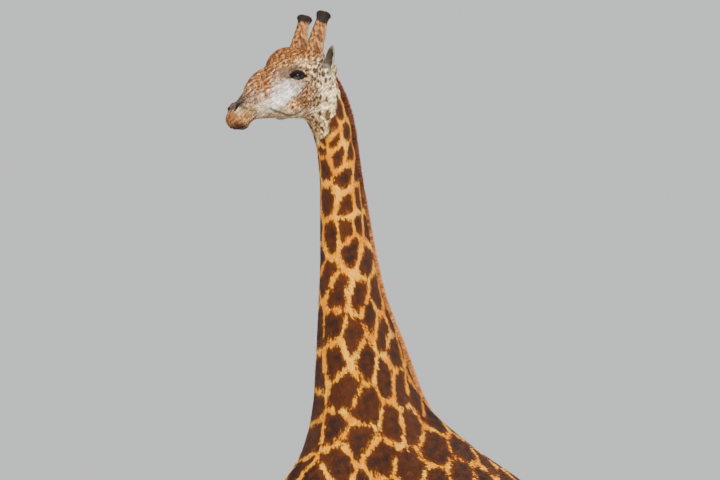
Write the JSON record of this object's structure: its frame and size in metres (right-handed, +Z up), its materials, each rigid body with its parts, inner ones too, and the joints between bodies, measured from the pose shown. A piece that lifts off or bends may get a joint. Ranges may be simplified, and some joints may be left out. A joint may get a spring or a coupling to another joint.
{
  "type": "giraffe",
  "caption": "Adult bull giraffe standing square on four cloven hooves, long neck upright, head level and looking ahead, thick ossicones, short mane and tufted tail.",
  "frame": {"origin": "on the floor under the middle of the animal's box, between the fore and hind hooves", "axes": "+Z up from the soles, -Y the way the animal faces, +X its left side"},
  "size_m": [0.8614, 2.3482, 5.2762],
  "materials": {
    "coat": "short, flat coat: dark brown patches parted by a network of golden tan",
    "face": "short coat, pale grey-white on the cheek, rusty brown on the forehead, grey-brown round the nostrils",
    "ear_skin": "thin skin under short pale hair, darker inside",
    "horn_skin": "short rusty brown hair, black round a bald grey knob",
    "mane_hair": "stiff upright red-brown hair",
    "tuft_hair": "long coarse black hair",
    "eye": "wet, glossy, near black",
    "hoof": "dull dark horn, worn at the rim"
  },
  "bodies": {
    "root": {"head": "face", "ear_left": "ear_skin", "ear_right": "ear_skin", "ossicone_left": "horn_skin", "ossicone_right": "horn_skin", "eye_left": "eye", "eye_right": "eye", "neck": "coat", "mane": "mane_hair", "trunk": "coat", "tail": "coat", "tail_tuft": "tuft_hair", "foreleg_left": "coat", "foreleg_right": "coat", "hindleg_left": "coat", "hindleg_right": "coat", "hoof_fore_left": "hoof", "hoof_fore_right": "hoof", "hoof_hind_left": "hoof", "hoof_hind_right": "hoof"}
  },
  "joints": []
}
